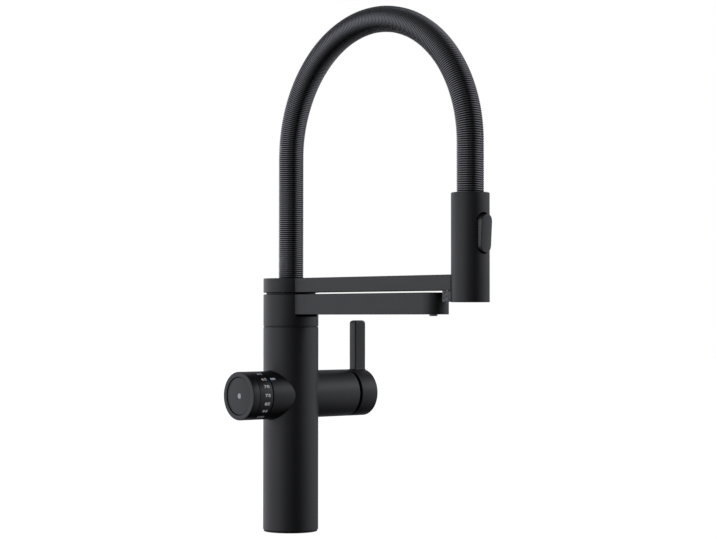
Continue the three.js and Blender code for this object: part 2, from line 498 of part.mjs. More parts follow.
// cap and blade are one casting; the blade's outline lies in the lever's X (down) and Z (out)
const bladeTop = BLADE_TOP_Z - AXIS_Z;
const bladeShape = new THREE.Shape();
bladeShape.moveTo(-18.5, BLADE_X0);
bladeShape.lineTo(-bladeTop + BLADE_TOP_CHAMFER, BLADE_X0);
bladeShape.lineTo(-bladeTop, BLADE_X0 + BLADE_TOP_CHAMFER);
bladeShape.lineTo(-bladeTop, BLADE_X1 - BLADE_TOP_CHAMFER);
bladeShape.lineTo(-bladeTop + BLADE_TOP_CHAMFER, BLADE_X1);
bladeShape.lineTo(-18.5, BLADE_X1);
bladeShape.closePath();
piece(leverGroup, 'lever_handle', carve(turned([
  [0, CAP_X1], [SIDE_R - 1.0, CAP_X1], [SIDE_R, CAP_X1 - 1.0], [SIDE_R, CAP_X0 + 0.3], [SIDE_R - 0.3, CAP_X0],
  [16, CAP_X0], [16, 82], [8, 82], [8, 71.5], [4.9, 71.5], [4.9, 80.8], [0, 80.8]], FINE), {
  add: [new THREE.ExtrudeGeometry(bladeShape, { depth: 2 * BLADE_HALF_Y, bevelEnabled: false })
    .rotateX(Math.PI / 2).translate(0, BLADE_HALF_Y, 0)],
  cut: [new THREE.CylinderGeometry(2.2, 2.2, 20, SMALL).rotateZ(Math.PI / 2).translate(14.5, 0, 76)],
}), blackPaint);
piece(leverGroup, 'lever_grub_screw', carve(new THREE.CylinderGeometry(1.9, 1.9, 6, SMALL).rotateZ(Math.PI / 2).translate(8.2, 0, 76), {
  cut: [new THREE.CylinderGeometry(1.0, 1.0, 3, 6).rotateZ(Math.PI / 2).translate(10.7, 0, 76)],
}), steel);
export default tap;
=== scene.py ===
import math

import bmesh
import bpy
from mathutils import Matrix, Vector


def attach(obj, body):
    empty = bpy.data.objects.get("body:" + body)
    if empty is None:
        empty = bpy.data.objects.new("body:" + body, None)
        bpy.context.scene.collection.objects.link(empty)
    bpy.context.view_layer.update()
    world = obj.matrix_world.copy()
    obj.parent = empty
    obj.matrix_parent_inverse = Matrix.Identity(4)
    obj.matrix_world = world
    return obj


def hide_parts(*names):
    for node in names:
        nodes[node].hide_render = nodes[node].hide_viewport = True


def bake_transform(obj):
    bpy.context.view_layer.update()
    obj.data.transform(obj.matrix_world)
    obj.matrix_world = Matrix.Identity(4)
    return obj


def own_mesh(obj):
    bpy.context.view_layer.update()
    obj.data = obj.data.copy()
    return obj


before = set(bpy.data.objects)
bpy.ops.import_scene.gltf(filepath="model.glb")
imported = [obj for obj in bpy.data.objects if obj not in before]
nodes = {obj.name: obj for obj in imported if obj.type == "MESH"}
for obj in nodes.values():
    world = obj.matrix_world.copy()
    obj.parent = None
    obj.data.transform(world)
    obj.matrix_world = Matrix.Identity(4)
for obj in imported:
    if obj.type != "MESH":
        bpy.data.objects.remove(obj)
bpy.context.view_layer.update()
MM = 0.001

# ---------------------------------------------------------------- sizes, in millimetres
COLUMN_R, COLUMN_Z0, COLUMN_Z1 = 25.0, 1.5, 184.4
AXIS_Z, SIDE_R = 123.3, 21.6
NECK_X, HOUSING_X = 37.4, 65.6
SPOUT_Z0, BAR_Z0, SPOUT_Z1 = 185.4, 195.7, 214.0
ARM_Z0, ARM_Z1 = 215.6, 228.5
BAR_HALF, OUTLET_Y = 13.0, 185.0
REACH, ARCH_Z, ARCH_R = 228.3, 337.5, 114.15
HOSE_R, COIL_PITCH = 11.4, 1.85
SPRAY_R, SPRAY_Z0, SPRAY_Z1 = 15.95, 205.7, 295.8
DOCK_R, DOCK_Y0, DOCK_Y1, DOCK_Z0 = 16.35, 208.7, 218.4, 206.0
ROCKER_Y, ROCKER_Z, ROCKER_TILT = 11.3, 262.1, math.radians(3.42)


# ================================================================ materials
def material(name):
    m = bpy.data.materials.new(name)
    m.use_nodes = True
    nt = m.node_tree
    bsdf = next(n for n in nt.nodes if n.type == "BSDF_PRINCIPLED")
    return m, nt, bsdf


def noise(nt, scale, detail=3.0, rough=0.55, stretch=(1, 1, 1)):
    co = nt.nodes.new("ShaderNodeTexCoord")
    mp = nt.nodes.new("ShaderNodeMapping")
    mp.inputs["Scale"].default_value = stretch
    nt.links.new(co.outputs["Object"], mp.inputs["Vector"])
    n = nt.nodes.new("ShaderNodeTexNoise")
    n.inputs["Scale"].default_value = scale
    n.inputs["Detail"].default_value = detail
    n.inputs["Roughness"].default_value = rough
    nt.links.new(mp.outputs["Vector"], n.inputs["Vector"])
    return n


def ramp(nt, source, stops):
    r = nt.nodes.new("ShaderNodeValToRGB")
    while len(r.color_ramp.elements) > 1:
        r.color_ramp.elements.remove(r.color_ramp.elements[-1])
    r.color_ramp.elements[0].position = stops[0][0]
    r.color_ramp.elements[0].color = (*stops[0][1], 1)
    for pos, col in stops[1:]:
        r.color_ramp.elements.new(pos).color = (*col, 1)
    nt.links.new(source, r.inputs["Fac"])
    return r


def spread(nt, source, lo, hi):
    m = nt.nodes.new("ShaderNodeMapRange")
    m.inputs["From Min"].default_value = 0.3
    m.inputs["From Max"].default_value = 0.7
    m.inputs["To Min"].default_value = lo
    m.inputs["To Max"].default_value = hi
    nt.links.new(source, m.inputs["Value"])
    return m.outputs["Result"]


def bump(nt, bsdf, source, strength, distance_mm):
    b = nt.nodes.new("ShaderNodeBump")
    b.inputs["Strength"].default_value = strength
    b.inputs["Distance"].default_value = distance_mm * MM
    nt.links.new(source, b.inputs["Height"])
    nt.links.new(b.outputs["Normal"], bsdf.inputs["Normal"])


def coated(name, dark, light, rough, grain=2600.0, depth=0.03, ior=1.5):
    """Powder coat: a fine even grain, with a slow drift in tone and gloss."""
    m, nt, bsdf = material(name)
    fine, slow = noise(nt, grain, 2.0), noise(nt, 38.0, 3.0)
    mix = nt.nodes.new("ShaderNodeMix")
    mix.data_type = "FLOAT"
    mix.inputs[0].default_value = 0.45
    nt.links.new(fine.outputs["Fac"], mix.inputs[2])
    nt.links.new(slow.outputs["Fac"], mix.inputs[3])
    r = ramp(nt, mix.outputs[0], [(0.3, dark), (0.7, light)])
    nt.links.new(r.outputs["Color"], bsdf.inputs["Base Color"])
    nt.links.new(spread(nt, mix.outputs[0], rough - 0.04, rough + 0.05), bsdf.inputs["Roughness"])
    bsdf.inputs["IOR"].default_value = ior
    bump(nt, bsdf, fine.outputs["Fac"], 0.35, depth)
    return m


def metal(name, a, b, rough, stretch=(1, 1, 12)):
    m, nt, bsdf = material(name)
    n = noise(nt, 900.0, 3.0, 0.6, stretch)
    r = ramp(nt, n.outputs["Fac"], [(0.3, a), (0.7, b)])
    nt.links.new(r.outputs["Color"], bsdf.inputs["Base Color"])
    nt.links.new(spread(nt, n.outputs["Fac"], rough - 0.06, rough + 0.08), bsdf.inputs["Roughness"])
    bsdf.inputs["Metallic"].default_value = 1.0
    bump(nt, bsdf, n.outputs["Fac"], 0.2, 0.01)
    return m


def printed(name, a, b):
    """Printed ink, slightly uneven in cover."""
    m, nt, bsdf = material(name)
    n = noise(nt, 1800.0, 2.0)
    r = ramp(nt, n.outputs["Fac"], [(0.35, a), (0.65, b)])
    nt.links.new(r.outputs["Color"], bsdf.inputs["Base Color"])
    bsdf.inputs["Roughness"].default_value = 0.5
    return m


def speckled(name, dark, light, rough, grain, depth):
    """Glass-filled moulded plastic: coarse light and dark speckle under a matt skin."""
    m, nt, bsdf = material(name)
    n = noise(nt, grain, 1.0, 0.4)
    r = ramp(nt, n.outputs["Fac"], [(0.40, dark), (0.60, light)])
    nt.links.new(r.outputs["Color"], bsdf.inputs["Base Color"])
    nt.links.new(spread(nt, n.outputs["Fac"], rough - 0.05, rough + 0.05), bsdf.inputs["Roughness"])
    bump(nt, bsdf, n.outputs["Fac"], 0.3, depth)
    return m


black = coated("black_powder_coat", (0.0045, 0.0045, 0.0048), (0.0080, 0.0080, 0.0085), 0.40)
black_face = coated("black_face_coat", (0.008, 0.008, 0.0085), (0.012, 0.012, 0.0128), 0.45)
dial_black = coated("dial_black", (0.0045, 0.0045, 0.0048), (0.0080, 0.0080, 0.0085), 0.38, 2600.0, 0.02, 1.46)
dock_plastic = speckled("dock_plastic", (0.008, 0.008, 0.0083), (0.145, 0.145, 0.149), 0.55, 700.0, 0.10)
button_plastic = coated("button_plastic", (0.016, 0.016, 0.0166), (0.022, 0.022, 0.0228), 0.34, 3800.0, 0.012, 1.58)
trim_plastic = coated("trim_plastic", (0.003, 0.003, 0.003), (0.005, 0.005, 0.005), 0.5, 3400.0, 0.02)
grey_plastic = coated("grey_plastic", (0.09, 0.09, 0.095), (0.12, 0.12, 0.125), 0.5, 3000.0, 0.02)
rubber = coated("black_rubber", (0.006, 0.006, 0.006), (0.010, 0.010, 0.010), 0.72, 1800.0, 0.04)
wire = metal("black_coated_wire", (0.120, 0.120, 0.125), (0.155, 0.155, 0.161), 0.22, (1, 1, 1))
tube_rubber = coated("hose_rubber", (0.004, 0.004, 0.004), (0.007, 0.007, 0.007), 0.6, 2400.0, 0.03)
brass = metal("machined_brass", (0.50, 0.37, 0.16), (0.62, 0.47, 0.22), 0.32)
steel = metal("plain_steel", (0.48, 0.48, 0.49), (0.62, 0.62, 0.63), 0.3)
black_steel = metal("blackened_steel", (0.035, 0.035, 0.037), (0.055, 0.055, 0.058), 0.34, (1, 1, 1))
outlet_grey = coated("outlet_grey_plastic", (0.17, 0.17, 0.176), (0.22, 0.22, 0.228), 0.40, 3000.0, 0.015)
white_ink = printed("white_ink", (0.80, 0.80, 0.80), (0.92, 0.92, 0.92))
warm_ink = printed("warm_white_ink", (0.86, 0.78, 0.75), (0.96, 0.89, 0.86))
blue_ink = printed("blue_ink", (0.02, 0.075, 0.18), (0.03, 0.105, 0.25))
pale_blue_ink = printed("pale_blue_ink", (0.60, 0.76, 0.92), (0.70, 0.86, 0.98))
pale_dot = printed("pale_lens", (0.46, 0.47, 0.51), (0.58, 0.59, 0.63))
hole_dark = coated("hole_shadow", (0.003, 0.003, 0.003), (0.005, 0.005, 0.005), 0.7, 2000.0, 0.01)


# ================================================================ mesh helpers
def obj_from(name, verts, faces, mat, smooth=30.0, scale=MM):
    me = bpy.data.meshes.new(name)
    me.from_pydata([(x * scale, y * scale, z * scale) for x, y, z in verts], [], faces)
    me.validate(clean_customdata=False)
    bm = bmesh.new()
    bm.from_mesh(me)
    bmesh.ops.remove_doubles(bm, verts=bm.verts, dist=1e-7)
    bmesh.ops.recalc_face_normals(bm, faces=bm.faces)
    bm.to_mesh(me)
    bm.free()
    soften(me, smooth)
    if mat:
        me.materials.append(mat)
    o = bpy.data.objects.new(name, me)
    bpy.context.scene.collection.objects.link(o)
    return o


def soften(me, angle):
    me.polygons.foreach_set("use_smooth", [True] * len(me.polygons))
    me.set_sharp_from_angle(angle=math.radians(angle))
    me.update()


def rounded(points, radii, steps=5):
    """Corners of a [r, z] profile rounded off; radii holds one radius per point, 0 for a sharp one."""
    out, n = [], len(points)
    for i, (p, r) in enumerate(zip(points, radii)):
        if r <= 0:
            out.append(tuple(p))
            continue
        p = Vector(p)
        a, b = (Vector(points[i - 1]) - p).normalized(), (Vector(points[(i + 1) % n]) - p).normalized()
        half = math.acos(max(-1, min(1, a.dot(b)))) / 2
        cut = r / math.tan(half)
        centre = p + (a + b).normalized() * (r / math.sin(half))
        s, e = (p + a * cut) - centre, (p + b * cut) - centre
        total = s.angle(e)
        for k in range(steps + 1):
            t = k / steps
            w0, w1 = math.sin((1 - t) * total) / math.sin(total), math.sin(t * total) / math.sin(total)
            q = centre + s * w0 + e * w1
            out.append((q.x, q.y))
    return out


def turned(name, profile, mat, axis="Z", seg=160, centre=(0, 0, 0), closed=True, smooth=30.0):
    """Solid of revolution. profile is [r, h]; h runs along the axis."""
    verts, faces = [], []
    n = len(profile)
    for k in range(seg):
        a = 2 * math.pi * k / seg
        c, s = math.cos(a), math.sin(a)
        for r, h in profile:
            if axis == "Z":
                p = (r * c, r * s, h)
            elif axis == "X":
                p = (h, r * c, r * s)
            else:
                p = (r * s, h, r * c)
            verts.append((p[0] + centre[0], p[1] + centre[1], p[2] + centre[2]))
    last = n if closed else n - 1
    for k in range(seg):
        m = (k + 1) % seg
        for i in range(last):
            j = (i + 1) % n
            q = [k * n + i, k * n + j, m * n + j, m * n + i]
            if profile[i][0] < 1e-9:
                q = [q[0], q[1], q[2]]
            elif profile[j][0] < 1e-9:
                q = [q[0], q[1], q[3]]
            if profile[i][0] < 1e-9 and profile[j][0] < 1e-9:
                continue
            faces.append(q)
    return obj_from(name, verts, faces, mat, smooth)


def layers(name, rings, mat, smooth=30.0):
    """Closed skin over a stack of outlines with the same number of points."""
    n = len(rings[0])
    verts = [p for r in rings for p in r]
    faces = [[k * n + i, k * n + (i + 1) % n, (k + 1) * n + (i + 1) % n, (k + 1) * n + i]
             for k in range(len(rings) - 1) for i in range(n)]
    faces.append(list(range(n - 1, -1, -1)))
    faces.append([(len(rings) - 1) * n + i for i in range(n)])
    return obj_from(name, verts, faces, mat, smooth)


def combine(target, others, operation):
    for o in others:
        md = target.modifiers.new("cut", "BOOLEAN")
        md.operation = operation
        md.solver = "EXACT"
        md.object = o
    bpy.context.view_layer.update()
    dg = bpy.context.evaluated_depsgraph_get()
    me = bpy.data.meshes.new_from_object(target.evaluated_get(dg))
    target.modifiers.clear()
    target.data = me
    for o in others:
        bpy.data.objects.remove(o)
    bm = bmesh.new()
    bm.from_mesh(me)
    bmesh.ops.remove_doubles(bm, verts=bm.verts, dist=2e-7)
    bmesh.ops.dissolve_degenerate(bm, edges=bm.edges, dist=1e-7)
    bm.to_mesh(me)
    bm.free()
    soften(me, 30.0)
    return target


def place(o, body, slot, *stands_for):
    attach(o, body)
    if stands_for:
        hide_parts(*stands_for)
    return o


def drill(axis, r, h0, h1, centre=(0, 0, 0), seg=64):
    return turned("drill", [(0, h0), (r, h0), (r, h1), (0, h1)], None, axis, seg, centre, closed=False)


# ================================================================ column
col = turned("column_look", rounded(
    [(20.0, COLUMN_Z0), (COLUMN_R, COLUMN_Z0), (COLUMN_R, COLUMN_Z1), (15.6, COLUMN_Z1), (15.6, 176.0), (20.0, 176.0)],
    [0, 0.6, 0.35, 0, 0, 0]), black, seg=200)
neck = turned("neck", rounded([(0, -12.0), (SIDE_R, -12.0), (SIDE_R, -NECK_X), (0, -NECK_X)], [0, 0, 0.25, 0]), black, "X", 176,
              (0, 0, AXIS_Z), closed=False)
housing = turned("housing", rounded([(0, 12.0), (SIDE_R, 12.0), (SIDE_R, HOUSING_X), (0, HOUSING_X)], [0, 0, 0.3, 0]), black, "X", 176,
                 (0, 0, AXIS_Z), closed=False)


def saddle_fillet(name, side, rho, n=160, arc=6):
    """Small concave fillet where a level cylinder of radius SIDE_R meets the column; side is -1 or +1 along X."""
    rings = []
    for k in range(n):
        a = 2 * math.pi * k / n
        centre = Vector((0, (SIDE_R + rho) * math.cos(a), (SIDE_R + rho) * math.sin(a)))
        centre.x = side * math.sqrt((COLUMN_R + rho) ** 2 - centre.y ** 2)
        d1 = Vector((-centre.x, -centre.y, 0)).normalized()
        d2 = Vector((0, -math.cos(a), -math.sin(a)))
        pts = [centre + d1 * (rho + 0.08)]
        total = d1.angle(d2)
        for j in range(arc + 1):
            t = j / arc
            pts.append(centre + (d1 * math.sin((1 - t) * total) + d2 * math.sin(t * total)) / math.sin(total) * rho)
        pts += [centre + d2 * (rho + 0.08), centre + (d1 + d2).normalized() * rho * 2.2]
        rings.append([(q.x, q.y, q.z + AXIS_Z) for q in pts])
    m = len(rings[0])
    verts = [q for r in rings for q in r]
    faces = [[k * m + i, k * m + (i + 1) % m, ((k + 1) % n) * m + (i + 1) % m, ((k + 1) % n) * m + i] for k in range(n) for i in range(m)]
    return obj_from(name, verts, faces, black)


combine(col, [neck, housing], "UNION")
combine(col, [
    drill("Z", 20.0, COLUMN_Z0 - 1, 175.99, seg=96),
    drill("X", 16.5, -NECK_X - 1, -10, (0, 0, AXIS_Z), 96),
    drill("X", 17.9, 30.0, HOUSING_X + 1, (0, 0, AXIS_Z), 96),
], "DIFFERENCE")
bm = bmesh.new()
bm.from_mesh(col.data)
for fillet in (saddle_fillet("neck_fillet", -1, 1.3), saddle_fillet("housing_fillet", 1, 1.3)):
    bm.from_mesh(fillet.data)
    bpy.data.objects.remove(fillet)
bm.to_mesh(col.data)
bm.free()
soften(col.data, 20.0)
place(col, "column", "black_paint", "column_body")


# ================================================================ spout and arm
def bar_outline(inset, z, y_start, y_end, round_end, n=40):
    h = BAR_HALF - inset
    pts = [(-h, y_start, z)]
    if round_end:
        pts += [(-h * math.cos(math.pi * k / n), y_end - h * math.sin(math.pi * k / n), z) for k in range(n + 1)]
    else:
        pts += [(-h, y_end, z), (h, y_end, z)]
    pts.append((h, y_start, z))
    return pts


def bar(name, z0, z1, y_start, y_end, round_end, b=0.55):
    ring_list = []
    for k in range(5):
        a = math.pi / 2 * k / 4
        ring_list.append(bar_outline(b * (1 - math.sin(a)), z0 + b * (1 - math.cos(a)), y_start, y_end, round_end))
    for k in range(5):
        a = math.pi / 2 * (4 - k) / 4
        ring_list.append(bar_outline(b * (1 - math.sin(a)), z1 - b * (1 - math.cos(a)), y_start, y_end, round_end))
    return layers(name, ring_list, black)


def root_fillets(name, z0, z1, rho=1.0, arc=6):
    """Upright fillets where the sides of a bar leave the round end."""
    out = []
    for side in (-1, 1):
        c = Vector((side * (BAR_HALF + rho), -math.sqrt((COLUMN_R + rho) ** 2 - (BAR_HALF + rho) ** 2)))
        d1, d2 = -c.normalized(), Vector((-side, 0))
        total = d1.angle(d2)
        pts = [c + d1 * (rho + 0.08)]
        for j in range(arc + 1):
            t = j / arc
            pts.append(c + (d1 * math.sin((1 - t) * total) + d2 * math.sin(t * total)) / math.sin(total) * rho)
        pts += [c + d2 * (rho + 0.08), c + (d1 + d2).normalized() * rho * 2.2]
        out.append(layers(name + "_%d" % side, [[(q.x, q.y, z) for q in pts] for z in (z0, z1)], black))
    return out


spout = turned("spout_look", rounded(
    [(16.0, SPOUT_Z0), (COLUMN_R, SPOUT_Z0), (COLUMN_R, SPOUT_Z1), (16.0, SPOUT_Z1)], [0, 0.35, 0.5, 0]), black, seg=200)
combine(spout, [bar("spout_bar", BAR_Z0, SPOUT_Z1, -19.0, -OUTLET_Y, True)], "UNION")
combine(spout, root_fillets("spout_root", BAR_Z0 + 0.45, SPOUT_Z1 - 0.45), "UNION")


def relief_outline(r, z):
    """Groove right under the spout's root; its floor rises inwards, so it is deepest against the spout."""
    pts = []
    for radius, way in ((r, 1), (27.0, -1)):
        for k in range(33):
            a = -math.pi / 2 + way * (k / 16 - 1) * math.asin(12.4 / radius)
            pts.append((radius * math.cos(a), radius * math.sin(a), z))
    return pts


combine(spout, [
    drill("Z", 18.8, SPOUT_Z0 - 1, 195.4), drill("Z", 18.8, 211.0, SPOUT_Z1 + 1),
    drill("Z", 6.5, BAR_Z0 - 1, 208.0, (0, -OUTLET_Y, 0), 48), drill("Y", 2.2, 17, 26, (0, 0, 190.3), 24),
    layers("relief", [relief_outline(24.7, BAR_Z0 - 1.9), relief_outline(20.4, BAR_Z0 + 0.02)], None),
], "DIFFERENCE")
place(spout, "spout", "black_paint", "spout_body")

arm = turned("arm_look", rounded(
    [(12.9, ARM_Z0), (COLUMN_R, ARM_Z0), (COLUMN_R, ARM_Z1), (12.9, ARM_Z1)], [0, 0.45, 0.5, 0.3]), black, seg=200)
combine(arm, [bar("arm_bar", ARM_Z0, ARM_Z1, -19.0, -DOCK_Y1, False)], "UNION")
combine(arm, root_fillets("arm_root", ARM_Z0 + 0.45, ARM_Z1 - 0.45), "UNION")
combine(arm, [
    drill("Z", 18.8, ARM_Z0 - 1, 221.4), drill("Z", DOCK_R, ARM_Z0 - 1, ARM_Z1 + 1, (0, -REACH, 0), 128),
    drill("Y", 4.3, -213.0, -207.1, (0, 0, 222.0), 32), drill("Y", 2.2, 18, 26, (0, 0, 218.5), 24),
    drill("Z", 1.7, ARM_Z0 - 1, 223.0, (-9.5, -211.8, 0), 16), drill("Z", 1.7, ARM_Z0 - 1, 223.0, (9.5, -211.8, 0), 16),
], "DIFFERENCE")
place(arm, "arm", "black_paint", "hose_arm")

dz = [DOCK_Z0, ARM_Z0 - 0.3]
b = 0.4
dock_rings = []
for inset, z in [(b, dz[0]), (0.12, dz[0] + 0.12), (0, dz[0] + b), (0, dz[1])]:
    h = BAR_HALF - inset
    dock_rings.append([(-h, -DOCK_Y0 - inset, z), (-h, -DOCK_Y1, z), (h, -DOCK_Y1, z), (h, -DOCK_Y0 - inset, z)])
dock = layers("dock_look", dock_rings, dock_plastic)
combine(dock, [drill("Z", DOCK_R, 204, 218, (0, -REACH, 0), 128),
               drill("Z", 1.9, 204, 218, (-9.5, -211.8, 0), 20), drill("Z", 1.9, 204, 218, (9.5, -211.8, 0), 20)], "DIFFERENCE")
place(dock, "arm", "black_plastic", "dock_bracket")


# ================================================================ hose spring: real turns of wire along the route
def route(s):
    """Point, tangent and in-plane normal at arc length s, from the arm's eye over the arch into the hand spray."""
    leg = ARCH_Z - 228.2
    arc = math.pi * ARCH_R
    if s <= leg:
        return Vector((0, 0, 228.2 + s)), Vector((0, 0, 1)), Vector((0, 1, 0))
    if s <= leg + arc:
        a = (s - leg) / ARCH_R
        n = Vector((0, math.cos(a), math.sin(a)))
        return Vector((0, -ARCH_R, ARCH_Z)) + n * ARCH_R, Vector((0, -math.sin(a), math.cos(a))), n
    d = s - leg - arc
    return Vector((0, -REACH, ARCH_Z - d)), Vector((0, 0, -1)), Vector((0, -1, 0))


ROUTE_LENGTH = (ARCH_Z - 228.2) + math.pi * ARCH_R + (ARCH_Z - 291.4)
WIRE_RADIAL, WIRE_ALONG = 0.9, 0.905
coil_r = HOSE_R - WIRE_RADIAL
turns = ROUTE_LENGTH / COIL_PITCH
per_turn, around = 22, 10
section = []
for k in range(around):
    a = 2 * math.pi * (k + 0.5) / around
    section.append((WIRE_RADIAL * math.cos(a), WIRE_ALONG * math.sin(a)))
# the lower end of the coil is ground flat: it starts most of a turn early and is cut level with the arm
GROUND = 0.8
steps = int((turns + GROUND) * per_turn)
verts, faces = [], []
for i in range(steps + 1):
    psi = 2 * math.pi * ((turns + GROUND) * i / steps - GROUND)
    s = WIRE_ALONG + (ROUTE_LENGTH - 2 * WIRE_ALONG) * psi / (2 * math.pi * turns)
    e_dir = math.cos(psi), math.sin(psi)
    for dr, dt in section:
        p, t, n = route(s + dt if s < 3.0 else s)
        e = n * e_dir[0] + Vector((1, 0, 0)) * e_dir[1]
        if s < 3.0:
            q = p + e * (coil_r + dr)
            q.z = max(q.z, 228.2 + 0.02 * (s + dt + 3.0))
        else:
            q = p + e * (coil_r + dr) + t * dt
        verts.append((q.x, q.y, q.z))
for i in range(steps):
    for k in range(around):
        m = (k + 1) % around
        faces.append([i * around + k, i * around + m, (i + 1) * around + m, (i + 1) * around + k])
faces.append(list(range(around - 1, -1, -1)))
faces.append([steps * around + k for k in range(around)])
coil = obj_from("hose_coil", verts, faces, wire, 60.0)
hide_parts("hose_spring")
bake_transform(coil)

# water hose inside the turns
verts, faces = [], []
around, steps = 32, 150
L0, L1 = -6.4, ROUTE_LENGTH + 0.0
for i in range(steps + 1):
    s = L0 + (L1 - L0) * i / steps
    p, t, n = route(max(s, 0.0))
    if s < 0:
        p = p + Vector((0, 0, s))
    for r in (6.7, 5.0):
        for k in range(around):
            a = 2 * math.pi * k / around
            q = p + (n * math.cos(a) + Vector((1, 0, 0)) * math.sin(a)) * r
            verts.append((q.x, q.y, q.z))
for i in range(steps):
    for layer in (0, 1):
        for k in range(around):
            m = (k + 1) % around
            o0, o1 = (i * 2 + layer) * around, ((i + 1) * 2 + layer) * around
            faces.append([o0 + k, o0 + m, o1 + m, o1 + k])
for end in (0, steps):
    for k in range(around):
        m = (k + 1) % around
        o0 = end * 2 * around
        faces.append([o0 + k, o0 + m, o0 + around + m, o0 + around + k])
water = obj_from("water_hose", verts, faces, tube_rubber, 40.0)
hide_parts("hose_water_tube")
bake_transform(water)


# ================================================================ hand spray
shell = turned("spray_look", rounded(
    [(13.6, SPRAY_Z0), (SPRAY_R, SPRAY_Z0), (SPRAY_R, SPRAY_Z1), (11.7, SPRAY_Z1), (11.7, 291.0), (13.6, 291.0)],
    [0.2, 0.5, 0.9, 0.25, 0, 0]), black, seg=160, centre=(0, -REACH, 0))


def obround(half_w, half_h, n=24):
    h = half_h - half_w
    pts = [(half_w * math.cos(math.pi * k / n), h + half_w * math.sin(math.pi * k / n)) for k in range(n + 1)]
    pts += [(-half_w * math.cos(math.pi * k / n), -h - half_w * math.sin(math.pi * k / n)) for k in range(n + 1)]
    return pts


slot_rings = [[(x, -REACH + y, ROCKER_Z + z) for x, z in obround(6.8, 17.2)] for y in (-20.0, -6.0)]
combine(shell, [layers("slot", slot_rings, None)], "DIFFERENCE")
place(shell, "spray", "black_paint", "spray_shell")

# rocker: a shallow domed pad, top end out
c, s = math.cos(ROCKER_TILT), math.sin(ROCKER_TILT)


def rocker_point(x, y, z):
    return (x, -REACH - ROCKER_Y + y * c - z * s, ROCKER_Z + y * s + z * c)


PAD_W, PAD_H, edge = 6.2, 15.85, 0.55
rings = [[rocker_point(x, -2.15, z) for x, z in obround(PAD_W, PAD_H)]]
for k in range(7):
    a = math.pi / 2 * k / 6
    inset, y = edge * (1 - math.cos(a)), -7.85 + edge * (1 - math.sin(a))
    rings.append([rocker_point(x, y + x * x / 70, z) for x, z in obround(PAD_W - inset, PAD_H - inset)])
for inset in (1.4, 2.4, 3.4, 4.4, 5.6):
    rings.append([rocker_point(x, -7.85 + x * x / 70, z) for x, z in obround(PAD_W - inset, PAD_H - inset)])
rocker = layers("rocker_look", rings, button_plastic, 40.0)
stem = layers("stem", [[rocker_point(x, y, z) for x, z in ((-3.6, -2.2), (3.6, -2.2), (3.6, 2.2), (-3.6, 2.2))] for y in (-2.5, 1.8)], None)
combine(rocker, [stem], "UNION")
hole = []
for x in (-5.0, 5.0):
    hole.append([rocker_point(x, 1.2 * math.cos(2 * math.pi * k / 16), 1.2 * math.sin(2 * math.pi * k / 16)) for k in range(16)])
combine(rocker, [layers("hole", hole, None)], "DIFFERENCE")
place(rocker, "rocker", "black_plastic", "rocker_button")

# ================================================================ dial
ring = turned("dial_ring_look", rounded(
    [(4.3, -50.4), (18.2, -50.4), (18.2, -38.6), (SIDE_R, -38.6), (SIDE_R, -53.0), (4.3, -53.0)],
    [0, 0, 0, 0.2, 0.25, 0]), dial_black, "X", 176, (0, 0, AXIS_Z))
place(ring, "dial", "black_paint", "dial_number_ring")
knob = turned("dial_knob_look", rounded(
    [(4.3, -53.4), (SIDE_R, -53.4), (SIDE_R, -60.6), (17.1, -60.6), (17.1, -55.2), (4.3, -55.2)],
    [0, 0.25, 0.7, 0.3, 0, 0]), dial_black, "X", 176, (0, 0, AXIS_Z))
# the front of the rim is turned to the same satin face as the push face sunk in it
knob.data.materials.append(black_face)
for poly in knob.data.polygons:
    if poly.normal.x < -0.75 and poly.center.x < -0.060:
        poly.material_index = 1
place(knob, "dial", "black_paint", "dial_knob")
face = turned("push_face_look", rounded(
    [(0, -59.9), (16.7, -59.9), (16.7, -58.1), (0, -58.1)], [0, 0.3, 0, 0]), black_face, "X", 176, (0, 0, AXIS_Z), closed=False)
combine(face, [drill("X", 2.65, -61.0, -59.6, (0, 0, AXIS_Z), 48)], "DIFFERENCE")
place(face, "push_face", "black_paint", "dial_push_face")
dot = turned("indicator_lens", [(0, -59.95), (1.2, -59.93), (2.0, -59.88), (2.4, -59.78), (2.5, -59.62), (0, -59.62)], pale_dot, "X", 48, (0, 0, AXIS_Z), closed=False)
place(dot, "push_face", None)

# return spring behind the push face: a conical coil whose turns nest as it flattens
verts, faces = [], []
turns_in, per_turn, around, wire_r = 3, 48, 8, 0.18
steps = turns_in * per_turn
for i in range(steps + 1):
    psi, t = 2 * math.pi * i / per_turn, i / steps
    for k in range(around):
        a = 2 * math.pi * (k + 0.5) / around
        r = 6.98 - 0.78 * t + wire_r * math.cos(a)
        verts.append((-55.52 - wire_r - (2.26 - 2 * wire_r) * t + wire_r * math.sin(a), r * math.cos(psi), AXIS_Z + r * math.sin(psi)))
for i in range(steps):
    for k in range(around):
        m = (k + 1) % around
        faces.append([i * around + k, i * around + m, (i + 1) * around + m, (i + 1) * around + k])
faces.append(list(range(around - 1, -1, -1)))
faces.append([steps * around + k for k in range(around)])
spring = place(obj_from("return_spring_look", verts, faces, steel, 60.0), "dial", "steel", "dial_return_spring")
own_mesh(spring)


def ring_point(x, theta, r):
    return (x * MM, -r * math.cos(theta) * MM, (AXIS_Z + r * math.sin(theta)) * MM)


